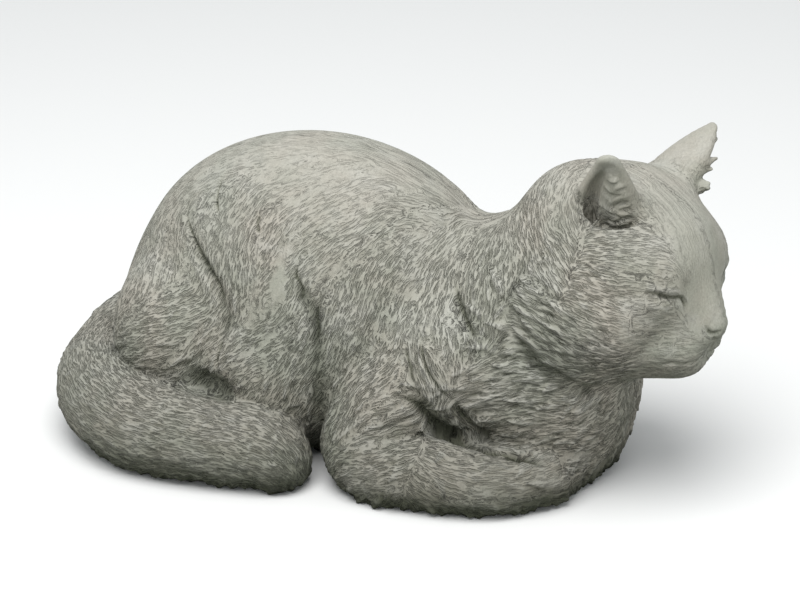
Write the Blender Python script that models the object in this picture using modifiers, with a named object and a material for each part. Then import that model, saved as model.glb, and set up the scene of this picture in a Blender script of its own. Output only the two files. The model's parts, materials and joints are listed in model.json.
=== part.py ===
"""A cat asleep, cast in stone, as one solid: Blender 4.5, metres, +Z up, nose towards +X."""

import math

import bmesh
import bpy
import numpy as np
from mathutils import Euler, Matrix, Vector
from mathutils.kdtree import KDTree

STATUE_LENGTH = 0.3702  # from the bend of the tail to the nose
DRAWN_LENGTH = 370.2  # the form is drawn in these parts of the length
PART = STATUE_LENGTH / DRAWN_LENGTH
CLAY_GRAINS = (3.6, 2.2)  # sizes of the grid that fuses the clay
EASE_ROUNDS = 3  # how often each grid is then eased onto the form
SOLID_TRIANGLES = 9900
GROUND = 0.0
LEVEL_BELOW = 0.3  # what lies lower than this is part of the flat underside
REACH = 8.0  # how far from the surface the form still has to be known
MIDLINE = 3.0  # the body's own middle, as the head lies a little to its right
MIDDLE = (-2.1, -2.3)  # of the whole outline, which is brought over the origin

HEAD_AT = (134, -14, 131)
HEAD_TURN = (-4, 18, -20)  # roll, nod and turn in degrees


def placed(at, turn=(0, 0, 0)):
    return Matrix.Translation(Vector(at)) @ Euler([math.radians(t) for t in turn]).to_matrix().to_4x4()


HEAD_FRAME = placed(HEAD_AT, HEAD_TURN)


class Clay:
    """A mass that is worked softly into what is there."""

    def reaches(self, points):
        spare = self.soft + REACH
        return ((points > self.low - spare) & (points < self.high + spare)).all(1)


class Lump(Clay):
    """An ellipsoid."""

    def __init__(self, at, radii, turn=(0, 0, 0), soft=14, frame=None):
        self.matrix = (frame or Matrix.Identity(4)) @ placed(at, turn)
        self.radii = np.array(radii, float)
        self.soft = soft
        half = np.sqrt(((np.array(self.matrix)[:3, :3] * self.radii) ** 2).sum(1))
        self.low = np.array(self.matrix.translation) - half
        self.high = np.array(self.matrix.translation) + half

    def distance(self, points):
        inverse = np.array(self.matrix.inverted())
        local = points @ inverse[:3, :3].T + inverse[:3, 3]
        near = np.linalg.norm(local / self.radii, axis=1)
        slope = np.linalg.norm(local / self.radii**2, axis=1)
        return near * (near - 1) / np.maximum(slope, 1e-9)

    def add_clay(self, clay):
        made = bmesh.ops.create_icosphere(clay, subdivisions=4, radius=1.0)
        scale = Matrix.Diagonal((*self.radii, 1))
        bmesh.ops.transform(clay, matrix=self.matrix @ scale, verts=made["verts"])


class Roll(Clay):
    """A roll along a smooth path, with its own radius at each point, flattened along its frame's X."""

    def __init__(self, path, radii, soft=10, frame=None, flat=1.0):
        self.matrix = (frame or Matrix.Identity(4)) @ Matrix.Diagonal((flat, 1, 1, 1))
        self.centres, self.radii = smooth_path(path, radii)
        self.soft = soft
        self.flat = flat
        middles = np.array([self.matrix @ Vector(c) for c in self.centres])
        self.low = (middles - self.radii[:, None]).min(0)
        self.high = (middles + self.radii[:, None]).max(0)

    def distance(self, points):
        inverse = np.array(self.matrix.inverted())
        local = points @ inverse[:3, :3].T + inverse[:3, 3]
        best = np.full(len(points), 1e9)
        for start, end, near, far in zip(self.centres, self.centres[1:], self.radii, self.radii[1:]):
            along = end - start
            t = np.clip((local - start) @ along / (along @ along), 0, 1)
            away = np.linalg.norm(local - start - t[:, None] * along, axis=1)
            best = np.minimum(best, away - near - t * (far - near))
        return best * self.flat

    def add_clay(self, clay):
        for centre, radius in zip(self.centres, self.radii):
            ball = Matrix.Translation(Vector(centre))
            bmesh.ops.create_icosphere(clay, subdivisions=2, radius=radius, matrix=self.matrix @ ball)


def smooth_path(knots, radii, steps=4):
    """Points and radii along a Catmull-Rom curve through the knots."""
    values = np.array([[*k, r] for k, r in zip(knots, radii)], float)
    ends = np.vstack([2 * values[0] - values[1], values, 2 * values[-1] - values[-2]])
    made = []
    for i in range(1, len(ends) - 2):
        a, b, c, d = ends[i - 1 : i + 3]
        for t in np.linspace(0, 1, steps, endpoint=False):
            made.append(0.5 * (2 * b + (c - a) * t + (2 * a - 5 * b + 4 * c - d) * t**2
                               + (3 * b - a - 3 * c + d) * t**3))
    made.append(values[-1])
    made = np.array(made)
    return made[:, :3], made[:, 3]


def soft_union(a, b, soft):
    h = np.clip(0.5 + 0.5 * (b - a) / soft, 0, 1)
    return b + (a - b) * h - soft * h * (1 - h)


def flank(side, path):
    """A path drawn for the left flank, brought to the side asked for (-1 right, 1 left)."""
    return [(x, MIDLINE + side * y, z) for x, y, z in path]


def body():
    masses = [
        Lump((-44, 2, 82), (105, 66, 88), soft=20),  # barrel and back
        Lump((-98, 2, 54), (61, 60, 54), soft=24),  # rump
        Lump((-20, 2, 40), (90, 46, 52), soft=16),  # belly
        Lump((48, -2, 66), (50, 60, 66), (0, 20, 0), soft=16),  # shoulders
        Lump((88, 0, 54), (46, 54, 60), soft=16),  # chest
        Lump((93, 4, 22), (31, 46, 36), soft=12),  # breast
        Roll([(64, -2, 78), (84, -8, 100), (112, -12, 122)], [48, 49, 46], soft=14),  # neck
        Lump((103, -8, 135), (37, 34, 42), soft=8),  # nape
    ]
    for side in (-1, 1):
        hip, thigh = flank(side, [(-114, 34, 62), (-62, 39, 48)])
        masses += [
            Lump(hip, (38, 36, 46), soft=8),
            Lump(thigh, (42, 34, 48), (0, 14, 0), soft=8),
            Roll(flank(side, [(36, 39, 74), (5, 51, 35), (9, 61, 18), (42, 68, 17), (72, 63, 15), (94, 45, 14),
                              (98, 23, 14)]),
                 [34, 29, 27, 21, 18, 17, 15], soft=7),  # foreleg, folded under with the paw turned in
        ]
    return masses


TAIL = Roll([(-138, 26, 58), (-160, 8, 44), (-165, -20, 33), (-154, -50, 27), (-124, -70, 22), (-84, -73, 21),
             (-54, -71, 19), (-45, -72, 14)],
            [16, 18, 22, 26, 25.5, 24, 22, 18], soft=4)  # round the right side to its tip by the elbow


def head():
    def lump(at, radii, turn=(0, 0, 0), soft=10):
        return [Lump(at, radii, turn, soft, HEAD_FRAME)]

    def pair(at, radii, turn=(0, 0, 0), soft=10):
        return [Lump((at[0], s * at[1], at[2]), radii, (-s * turn[0], turn[1], s * turn[2]), soft, HEAD_FRAME)
                for s in (-1, 1)]

    return (
        lump((-12, 0, 6), (40, 42, 38), soft=16)
        + lump((8, 0, 11), (27, 33, 25), soft=12)  # forehead
        + pair((-6, 27, -24), (38, 27, 32), soft=10)  # cheeks
        + lump((11, 0, -35), (30, 30, 26), soft=14)  # throat
        + lump((24, 0, -24), (25, 29, 24), soft=10)  # muzzle
        + pair((37.5, 9, -24), (16, 14, 14), soft=7)  # whisker pads
        + lump((35, 0, -36), (17, 15, 10), soft=9)  # chin
        + [Roll([(12, 0, 14), (32, 0, 2), (48.5, 0, -9)], [21, 14, 8.5], soft=9, frame=HEAD_FRAME)]  # nose
        + pair((20, 20, 0), (16, 17, 16), soft=12)  # closed eyes
        + pair((26, 15, -12), (13, 12, 13), soft=10)  # beside the nose
        + pair((16, 18, 14), (15, 15, 11), soft=10)  # brows
        + [ear(side) for side in (-1, 1)]
    )


EAR_FEET = {-1: (-15, 20.5, 24), 1: (-13.5, 22, 24)}  # right and left, outwards in the head's frame
EAR_TIPS = {-1: (-17, 45.5, 62.5), 1: (-10, 50, 66.5)}
EAR_FACING = 65  # degrees that the opening is turned out from straight ahead
EAR_FLATNESS = 0.45  # thickness as a share of the width
EAR_TIP_RADII = {-1: 6.5, 1: 4.5}  # the right tip is worn blunter


def ear_frame(side):
    """X out of the opening and Z up to the tip; the front edge lies towards -side along Y."""
    foot, tip = (Vector((x, side * y, z)) for x, y, z in (EAR_FEET[side], EAR_TIPS[side]))
    up = (tip - foot).normalized()
    facing = Vector((math.cos(math.radians(EAR_FACING)), side * math.sin(math.radians(EAR_FACING)), 0.2))
    facing = (facing - up * facing.dot(up)).normalized()
    turn = Matrix((facing, up.cross(facing), up)).transposed().to_4x4()
    return HEAD_FRAME @ Matrix.Translation(foot) @ turn


def ear(side):
    path = [(0, side * 2, -8), (0, side * 2, 12), (0, side * 1, 28), (0, 0, 43)]
    radii = [21, 16.5, 11.5, EAR_TIP_RADII[side]]
    return Roll(path, radii, soft=7, frame=ear_frame(side), flat=EAR_FLATNESS)


def ear_hollows(side):
    """The dish of the ear, and the deep channel along its back edge."""
    dish = [(24, -side * 2, -4), (20.5, -side * 2, 10), (13.5, -side * 1, 26), (8.5, 0, 41)]
    channel = [(11, side * 6, -1), (6.5, side * 7.5, 9), (4, side * 6, 22), (3, side * 3, 33), (2.8, side, 41)]
    rim = EAR_TIP_RADII[side] - 1.5
    return [
        Roll(dish, [10, 13, 9.8, rim], soft=2, frame=ear_frame(side), flat=EAR_FLATNESS),
        Roll(channel, [4, 5.5, 5, 3.6, 2.2], soft=1.5, frame=ear_frame(side)),
    ]


def ear_filling(side):
    """The mass of hair that grows from the front edge and fills most of the dish."""
    path = [(7.5, -side * 7, -3), (6.5, -side * 7, 8), (4.5, -side * 6, 18), (2.5, -side * 4, 28)]
    return Roll(path, [5.5, 5, 4, 2], soft=3, frame=ear_frame(side))


MASSES = head() + body() + [TAIL]
HOLLOWS = [hollow for side in (-1, 1) for hollow in ear_hollows(side)]
FILLINGS = [ear_filling(side) for side in (-1, 1)]


def skin(points):
    """How far each point near the surface of the form is from it, outwards."""
    d = np.full(len(points), 100.0)
    for mass in MASSES:
        near = mass.reaches(points)
        d[near] = soft_union(d[near], mass.distance(points[near]), mass.soft)
    for hollow in HOLLOWS:
        near = hollow.reaches(points)
        d[near] = -soft_union(-d[near], hollow.distance(points[near]), hollow.soft)
    for filling in FILLINGS:
        near = filling.reaches(points)
        d[near] = soft_union(d[near], filling.distance(points[near]), filling.soft)
    return d


def onto_skin(points, steps=4):
    points = np.array(points, float)
    for _ in range(steps):
        here = skin(points)
        slope = np.stack([skin(points + move) - here for move in 0.5 * np.eye(3)], axis=1) / 0.5
        points = points - (here / np.maximum((slope**2).sum(1), 1e-6))[:, None] * slope
    return points


class Groove:
    """A line worked into the surface with a tool, fading out at its ends."""

    def __init__(self, path, width, depth, frame=None):
        path = np.array([(frame or Matrix.Identity(4)) @ Vector(p) for p in path])
        self.centres = onto_skin(smooth_path(path, [0] * len(path), 3)[0])
        self.width = width
        self.depth = depth

    def sink(self, points):
        low, high = self.centres.min(0) - 3 * self.width, self.centres.max(0) + 3 * self.width
        near = np.nonzero(((points > low) & (points < high)).all(1))[0]
        sunk = np.zeros(len(points))
        last = len(self.centres) - 1
        for i, (start, end) in enumerate(zip(self.centres, self.centres[1:])):
            along = end - start
            t = np.clip((points[near] - start) @ along / (along @ along), 0, 1)
            away = np.linalg.norm(points[near] - start - t[:, None] * along, axis=1)
            fade = np.minimum(1, 4 * np.minimum(i + t + 0.1, last - i - t + 0.1) / last)
            sunk[near] = np.maximum(sunk[near], self.depth * fade * np.exp(-((away / self.width) ** 2)))
        return sunk


FOLDS = [
    # a path on the left flank, with how wide and how deep the fold is there
    ([(-108, 37, 131), (-95, 50, 116), (-82, 57, 103), (-75, 61, 85), (-80, 67, 68)], 4, 2.4),  # hip
    ([(-98, 67, 51), (-84, 69, 50), (-70, 72, 47)], 6, 4.0),  # hollow of the haunch
    ([(-39, 60, 120), (-36, 63, 110), (-26, 65, 95), (-25, 65, 65), (-27, 59, 33), (-30, 50, 12)],
     5, 2.4),  # thigh
    ([(42, 43, 116), (51, 54, 104), (62, 62, 91)], 3.5, 1.6),  # shoulder
    ([(24, 66, 90), (31, 74, 68), (39, 71, 54), (47, 64, 40), (61, 70, 34)], 4, 1.8),  # elbow to paw
    ([(18, 74, 63), (32, 70, 56), (41, 60, 40), (63, 64, 31), (86, 62, 29), (105, 56, 23)],
     4, 3.0),  # over the forearm
    ([(51, 65, 61), (52, 60, 50), (59, 57, 40), (73, 56, 32)], 4, 2.6),  # under the ruff
    ([(87, 44, 152), (82, 50, 136), (77, 57, 117), (79, 60, 96)], 4.5, 1.6),  # behind the cheek
]
FACE_LINES = [
    # the same for the left side of the head, in its frame
    ([(-27, 56, -40), (-14, 52, -54), (0, 43, -61), (12, 29, -66), (22, 20, -64)],
     4.5, 3.2),  # edge of the ruff
    ([(22, 38, 5), (28, 33, 7), (32, 28, 6), (36, 20, 5), (38.5, 17, 1)], 1.8, 2.0),  # shut eye
    ([(38, 24, -3), (37, 27.5, -14), (33, 31, -23.5), (29, 35, -32.5)], 5.5, 1.4),  # beside the muzzle
    ([(50, 9.5, -7), (53, 7.5, -10), (56, 3, -8)], 1.6, 2.0),  # nostril
    ([(53, 2, -25), (51, 13, -27.5), (46, 19.5, -29), (41, 22.5, -32.5)], 1.6, 2.0),  # mouth
]
LIP_LINE = ([(55, 0, -15), (55, 0, -19), (53, 0, -25)], 1.4, 1.8)


def creases():
    """The folds of the body and the lines of the face."""
    made = [Groove(*LIP_LINE, HEAD_FRAME)]
    for side in (-1, 1):
        made += [Groove(flank(side, path), width, depth) for path, width, depth in FOLDS]
        made += [Groove([(x, side * y, z) for x, y, z in path], width, depth, HEAD_FRAME)
                 for path, width, depth in FACE_LINES]
    return made


FLANK_FUR = [
    # where on the left flank, which way the hair lies there, and how deep the locks are
    ((-165, 0, 70), (-0.3, 0, -1), 0.5),
    ((-131, 0, 132), (-0.7, 0, -0.6), 0.4),
    ((-100, 0, 158), (-0.9, 0, -0.4), 0.3),
    ((-50, 0, 168), (-1, 0, 0), 0.2),
    ((10, 0, 155), (-1, 0, 0.4), 0.3),
    ((54, 0, 138), (-1, 0, 0.1), 0.5),
    ((-39, 29, 161), (-0.75, 0.55, -0.3), 0.25),
    ((-20, 40, 150), (-0.75, 0.55, -0.4), 0.35),
    ((-27, 55, 129), (-0.6, 0.4, -0.7), 0.6),
    ((-3, 46, 135), (-0.6, 0.5, -0.55), 0.6),
    ((-78, 52, 129), (-0.25, 0.4, -0.9), 0.6),
    ((-48, 60, 119), (-0.25, 0.3, -0.9), 0.8),
    ((-73, 60, 113), (0.1, 0.3, -0.95), 0.9),
    ((-122, 44, 108), (0.1, 0.6, -0.7), 0.8),
    ((-72, 62, 95), (-0.25, 0, -0.95), 1.0),
    ((-103, 66, 82), (-0.85, 0.2, -0.45), 0.9),
    ((-114, 69, 69), (-0.9, 0, -0.45), 1.1),
    ((-91, 66, 67), (-0.6, 0, -0.8), 1.2),
    ((-57, 68, 77), (-0.8, 0.1, -0.6), 1.1),
    ((-38, 67, 63), (-0.45, 0.1, -0.85), 1.2),
    ((-15, 64, 85), (-0.35, 0, -0.95), 1.0),
    ((-2, 57, 111), (-0.25, 0.3, -0.9), 0.8),
    ((-6, 72, 50), (-0.35, 0.2, -0.9), 1.2),
    ((-8, 60, 30), (-0.5, 0, -0.85), 1.2),
    ((9, 71, 67), (-0.6, 0, -0.75), 1.1),
    ((14, 55, 99), (-0.1, 0.4, -0.9), 0.9),
    ((22, 46, 116), (-0.35, 0.5, -0.8), 0.8),
    ((21, 24, 144), (-0.8, 0.5, 0.2), 0.4),
    ((36, 25, 131), (-0.25, 0.8, -0.4), 0.6),
    ((36, 52, 107), (0, 0.7, -0.65), 1.0),
    ((47, 44, 118), (0.05, 0.6, -0.8), 1.1),
    ((58, 40, 131), (0, 0.7, -0.65), 1.1),
    ((59, 51, 115), (0.1, 0.5, -0.85), 1.2),
    ((69, 51, 126), (0.15, 0.5, -0.8), 1.2),
    ((75, 38, 144), (0.4, 0.7, -0.5), 1.2),
    ((85, 43, 147), (0.45, 0.7, -0.5), 1.2),
    ((96, 50, 150), (0.7, 0.6, -0.35), 0.9),
    ((98, 59, 137), (0.7, 0.4, -0.55), 1.3),
    ((44, 66, 92), (0.35, 0.4, -0.85), 1.2),
    ((38, 72, 79), (0.45, 0.1, -0.9), 1.4),
    ((51, 59, 40), (0.55, -0.2, -0.8), 1.5),
    ((64, 63, 68), (-0.9, 0.3, -0.3), 1.7),
    ((98, 55, 63), (-0.95, 0.25, -0.05), 1.9),
    ((71, 61, 57), (-0.95, 0.15, -0.35), 1.8),
    ((101, 54, 53), (-0.9, 0.3, -0.3), 1.9),
    ((117, 44, 54), (-0.55, 0.5, -0.6), 1.7),
    ((114, 44, 33), (-0.75, 0.6, -0.1), 1.6),
    ((77, 55, 39), (-0.8, -0.1, -0.5), 1.6),
    ((128, 0, 40), (0, 0, -1), 1.6),
    ((20, 76, 54), (-0.9, 0.15, -0.4), 1.3),
    ((20, 84, 31), (-0.9, 0.2, -0.35), 1.1),
    ((8, 88, 23), (-0.9, 0, -0.4), 1.0),
    ((0, 66, 18), (-0.6, 0.2, -0.7), 1.2),
    ((49, 87, 21), (0.9, 0, -0.45), 0.9),
    ((56, 81, 30), (0.95, -0.2, 0), 0.8),
    ((78, 77, 23), (0.9, -0.45, 0), 0.6),
    ((96, 65, 24), (0.6, -0.8, 0.1), 0.5),
]
HEAD_FUR = [
    ((38, 0, 2), (-0.8, 0, 0.6), 0),
    ((22, 8, 28), (-0.6, 0.1, 0.8), 0.1),
    ((0, 0, 44), (-1, 0, 0), 0.2),
    ((-30, 10, 40), (-1, 0.1, -0.2), 0.3),
    ((26, 32, -12), (-0.95, 0.3, -0.2), 0.4),
    ((16, 36, 18), (-0.8, 0.4, -0.4), 0.5),
    ((0, 50, 0), (-1, 0.2, -0.15), 1.3),
    ((5, 52, -25), (-1, 0.1, 0.05), 1.7),
    ((-25, 50, -25), (-0.95, 0, -0.1), 1.9),
    ((-5, 46, -42), (-0.95, 0.1, 0.15), 1.8),
    ((10, 38, -52), (-0.95, 0.1, -0.3), 1.8),
    ((40, 18, -24), (-0.8, 0.6, -0.25), 0.35),
    ((34, 5, -46), (-0.9, 0, -0.3), 0.4),
    ((-35, 40, 20), (0.6, 0.4, -0.6), 0.5),
    ((-45, 10, 20), (0.2, 0.9, -0.3), 0.5),
    ((-20, 40, 50), (0, 0.4, 0.9), 0),
    ((0, 46, 20), (-0.8, 0.3, -0.45), 0.9),
]
TAIL_LOCKS = 1.0
SHALLOWEST = 0.7  # locks cut less deep than this are left to the finish
LOCK_DEPTH = 1.8
LOCK_LENGTH = 30
LOCK_WIDTH = 6.5  # half the width of a lock at its broadest
LOCK_SPACING = 10.5
LOCK_FLOOR = 0.35  # of the depth, the ground between locks
LOCK_MIDDLE = 0.6  # of the depth, the height that is level with the form


class Coat:
    """Which way the hair lies, and how deep its locks are cut, at any point of the surface."""

    def __init__(self):
        at, way, depth = [], [], []
        turned = HEAD_FRAME.to_3x3()
        for side in (-1, 1):
            for (x, y, z), (dx, dy, dz), deep in FLANK_FUR:
                at.append((x, MIDLINE + side * y, z))
                way.append((dx, side * dy, dz))
                depth.append(deep)
            for (x, y, z), (dx, dy, dz), deep in HEAD_FUR:
                at.append(HEAD_FRAME @ Vector((x, side * y, z)))
                way.append(turned @ Vector((dx, side * dy, dz)))
                depth.append(deep)
        self.at, self.way, self.depth = np.array(at, float), np.array(way, float), np.array(depth, float)
        self.tail_ways = np.gradient(TAIL.centres, axis=0)

    def lie(self, points, normals):
        away = ((points[:, None] - self.at[None]) ** 2).sum(2)
        weight = 1 / (away + 60) ** 3
        weight /= weight.sum(1, keepdims=True)
        way = weight @ self.way
        depth = weight @ self.depth
        nearest = ((points[:, None] - TAIL.centres[None]) ** 2).sum(2).argmin(1)
        on_tail = TAIL.distance(points) < 2
        way[on_tail] = self.tail_ways[nearest][on_tail]
        depth[on_tail] = TAIL_LOCKS
        way -= (way * normals).sum(1, keepdims=True) * normals
        way /= np.maximum(np.linalg.norm(way, axis=1, keepdims=True), 1e-6)
        return way, depth


def spaced(points, spacing, chance):
    """Indices of points in a chance order, none nearer to another than the spacing."""
    cells = {}
    kept = []
    for i in chance.permutation(len(points)):
        p = points[i]
        x, y, z = (int(v) for v in p // spacing)
        around = (q for dx in (-1, 0, 1) for dy in (-1, 0, 1) for dz in (-1, 0, 1)
                  for q in cells.get((x + dx, y + dy, z + dz), ()))
        if all((p[0] - q[0]) ** 2 + (p[1] - q[1]) ** 2 + (p[2] - q[2]) ** 2 > spacing**2 for q in around):
            cells.setdefault((x, y, z), []).append(p)
            kept.append(i)
    return np.array(kept)


def locks(points, normals, coat):
    """How far the overlapping locks of fur stand out at each point."""
    chance = np.random.default_rng(11)
    seeds = spaced(points, LOCK_SPACING, chance)
    ways, depths = coat.lie(points[seeds], normals[seeds])
    tree = KDTree(len(points))
    for i, p in enumerate(points):
        tree.insert(p, i)
    tree.balance()
    raised = np.zeros(len(points))
    for seed, way, depth in zip(seeds, ways, depths):
        if depth < SHALLOWEST:
            continue
        length = LOCK_LENGTH * chance.uniform(0.8, 1.2)
        width = LOCK_WIDTH * chance.uniform(0.8, 1.2)
        near = np.array([i for _, i, _ in tree.find_range(points[seed] + way * length / 2, length * 0.6)])
        off = points[near] - points[seed]
        along = off @ way / length
        side = np.cross(normals[seed], way)
        bend = chance.uniform(-0.25, 0.25) * length * along**2
        inside = (along > 0) & (along < 1) & (normals[near] @ normals[seed] > 0.3)
        leaf = width * np.sin(np.pi * np.clip(along, 0, 1) ** 0.7)
        across = (off @ side - bend) / np.maximum(leaf, 0.3)
        height = LOCK_DEPTH * depth * (0.3 + 0.7 * along) * np.clip(1 - across**2, 0, 1)
        raised[near[inside]] = np.maximum(raised[near[inside]], height[inside])
    return raised


RIM_HEIGHT = 9
RIM_DEPTH = 0.9


def ragged_rim(points, normals):
    """The broken lower edge that the mould left, as movement outwards."""
    x, y, z = points.T
    wave = (np.sin(0.21 * x + 0.17 * y) + np.sin(0.43 * x - 0.31 * y + 1.3) + np.sin(0.83 * x + 0.71 * y + 4.1)
            + np.sin(1.31 * y - 0.97 * x))
    reach = np.clip(1 - z / RIM_HEIGHT, 0, 1) * np.clip(1 - np.abs(normals[:, 2]), 0, 1)
    return reach * wave * RIM_DEPTH


def ease_onto_skin(mesh):
    for _ in range(EASE_ROUNDS):
        at, normals = surface(mesh)
        move(mesh, at, -np.clip(skin(at), -5, 5)[:, None] * normals)


def surface(mesh):
    """The points of a mesh and the way outwards at each."""
    points = np.empty(len(mesh.vertices) * 3, np.float32)
    normals = np.empty(len(mesh.vertices) * 3, np.float32)
    mesh.vertices.foreach_get("co", points)
    mesh.vertices.foreach_get("normal", normals)
    return points.reshape(-1, 3).astype(float), normals.reshape(-1, 3).astype(float)


def move(mesh, points, by):
    mesh.vertices.foreach_set("co", (points + by).astype(np.float32).ravel())
    mesh.update()


def remeshed(obj, size):
    remesh = obj.modifiers.new("fuse", "REMESH")
    remesh.mode = "VOXEL"
    remesh.voxel_size = size
    return applied(obj)


def applied(obj):
    graph = bpy.context.evaluated_depsgraph_get()
    mesh = bpy.data.meshes.new_from_object(obj.evaluated_get(graph))
    obj.modifiers.clear()
    obj.data = mesh
    return mesh


def carve(mesh):
    coat = Coat()
    points, normals = surface(mesh)
    deep = LOCK_DEPTH * coat.lie(points, normals)[1]
    out = np.maximum(locks(points, normals, coat), LOCK_FLOOR * deep) - LOCK_MIDDLE * deep
    for crease in creases():
        out -= crease.sink(points)
    out += ragged_rim(points, normals)
    move(mesh, points, out[:, None] * normals)


def cast_stone():
    stone = bpy.data.materials.new("cast_stone")
    stone.use_nodes = True
    look = stone.node_tree.nodes["Principled BSDF"].inputs
    look["Base Color"].default_value = (0.37, 0.365, 0.31, 1)
    look["Roughness"].default_value = 0.92
    look["Metallic"].default_value = 0.0
    return stone


def flat_underside(mesh):
    """Scale to metres and cut flat at the ground."""
    form = bmesh.new()
    form.from_mesh(mesh)
    bmesh.ops.scale(form, vec=(PART, PART, PART), verts=form.verts)
    bmesh.ops.bisect_plane(form, geom=form.verts[:] + form.edges[:] + form.faces[:], plane_co=(0, 0, GROUND),
                           plane_no=(0, 0, 1), clear_inner=True)
    bmesh.ops.remove_doubles(form, verts=form.verts, dist=0.05 * PART)
    rim = [e for e in form.edges if e.is_boundary]
    bmesh.ops.edgenet_fill(form, edges=rim)
    bmesh.ops.triangulate(form, faces=[f for f in form.faces if len(f.verts) > 4])
    bmesh.ops.recalc_face_normals(form, faces=form.faces)
    form.to_mesh(mesh)
    form.free()


def settled(mesh):
    """Level the underside and bring the middle of the outline over the origin."""
    points = surface(mesh)[0]
    points[points[:, 2] < LEVEL_BELOW * PART, 2] = GROUND
    move(mesh, points, np.array([-MIDDLE[0] * PART, -MIDDLE[1] * PART, 0.0]))


def main():
    for obj in list(bpy.data.objects):
        bpy.data.objects.remove(obj)
    clay = bmesh.new()
    for mass in MASSES:
        mass.add_clay(clay)
    mesh = bpy.data.meshes.new("cat")
    clay.to_mesh(mesh)
    clay.free()
    cat = bpy.data.objects.new("sleeping_cat", mesh)
    bpy.context.scene.collection.objects.link(cat)
    for grain in CLAY_GRAINS:
        mesh = remeshed(cat, grain)
        ease_onto_skin(mesh)
    carve(mesh)
    flat_underside(mesh)
    thin = cat.modifiers.new("facets", "DECIMATE")
    triangles = sum(len(p.vertices) - 2 for p in mesh.polygons)
    thin.ratio = SOLID_TRIANGLES / triangles
    mesh = applied(cat)
    settled(mesh)
    mesh.materials.clear()
    mesh.materials.append(cast_stone())
    mesh.shade_smooth()


main()
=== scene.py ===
"""A cat asleep, cast in stone: its carved fur and weathered finish around the solid statue."""

import json
import math

import bmesh
import bpy
import numpy as np
from bpy.props import FloatProperty, FloatVectorProperty, IntProperty, PointerProperty
from mathutils import Euler, Matrix, Vector
from mathutils.kdtree import KDTree

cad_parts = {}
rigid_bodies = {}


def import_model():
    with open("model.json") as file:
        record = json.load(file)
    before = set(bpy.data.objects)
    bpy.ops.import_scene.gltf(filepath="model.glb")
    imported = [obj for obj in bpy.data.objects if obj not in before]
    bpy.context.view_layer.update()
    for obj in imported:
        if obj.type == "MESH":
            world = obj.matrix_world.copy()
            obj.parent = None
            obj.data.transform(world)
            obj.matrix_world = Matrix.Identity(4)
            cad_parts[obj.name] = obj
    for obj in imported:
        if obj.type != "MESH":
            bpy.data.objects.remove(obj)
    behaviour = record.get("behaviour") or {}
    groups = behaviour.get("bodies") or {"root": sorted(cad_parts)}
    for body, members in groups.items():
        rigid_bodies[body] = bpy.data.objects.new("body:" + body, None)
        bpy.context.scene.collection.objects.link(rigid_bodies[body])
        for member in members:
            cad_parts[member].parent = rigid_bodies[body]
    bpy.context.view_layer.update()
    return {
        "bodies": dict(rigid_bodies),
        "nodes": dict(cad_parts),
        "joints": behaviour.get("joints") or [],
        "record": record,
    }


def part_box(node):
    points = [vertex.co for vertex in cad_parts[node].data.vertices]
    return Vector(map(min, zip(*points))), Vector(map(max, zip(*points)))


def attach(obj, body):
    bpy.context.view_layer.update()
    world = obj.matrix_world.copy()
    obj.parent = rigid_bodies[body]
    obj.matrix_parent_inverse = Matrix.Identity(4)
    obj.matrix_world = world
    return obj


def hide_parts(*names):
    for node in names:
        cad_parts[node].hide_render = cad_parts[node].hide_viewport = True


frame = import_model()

bl_info = {
    "name": "Sleeping Cat Statue",
    "version": (1, 0, 0),
    "blender": (4, 5, 0),
    "location": "View3D > Sidebar > Statue",
    "description": "Models a sleeping cat cast in stone, with carved fur and a weathered finish",
    "category": "Add Mesh",
}

NODE = "sleeping_cat"
DRAWN_LENGTH = 370.2  # the form is drawn in these parts of the solid's length
LOW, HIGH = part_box(NODE)
PART = (HIGH.x - LOW.x) / DRAWN_LENGTH
CLAY_GRAINS = (3.6, 2.2)  # sizes of the grid that fuses the clay
FINE_GRAIN = 0.85  # the grid that the strokes are cut in
COMB_PASSES = 7  # of the search for places along and across the hair
COMB_ROUNDS = 130  # of each pass
COMB_SPREAD = 0.03  # how firmly their spacing is kept, beside how firmly they are kept level
SEAM_JUMP = 2.6  # places that differ by more than this share of the distance have a seam between them
COMB_SLACK = 0.25  # misfit beyond this, as a share of the distance, is gathered into seams
REACH = 8.0  # how far from the surface the form still has to be known
MIDLINE = 3.0  # the body's own middle, as the head lies a little to its right
MIDDLE = (-2.1, -2.3)  # of the whole outline, which is brought over the origin
HEAD_AT = (134, -14, 131)
HEAD_TURN = (-4, 18, -20)  # roll, nod and turn in degrees


def placed(at, turn=(0, 0, 0)):
    return Matrix.Translation(Vector(at)) @ Euler([math.radians(t) for t in turn]).to_matrix().to_4x4()


HEAD_FRAME = placed(HEAD_AT, HEAD_TURN)


class Clay:
    """A mass that is worked softly into what is there."""

    def reaches(self, points):
        spare = self.soft + REACH
        return ((points > self.low - spare) & (points < self.high + spare)).all(1)

    def drawn(self, points):
        """The points in the mass's own frame."""
        inverse = np.array(self.matrix.inverted())
        return points @ inverse[:3, :3].T + inverse[:3, 3]


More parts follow.
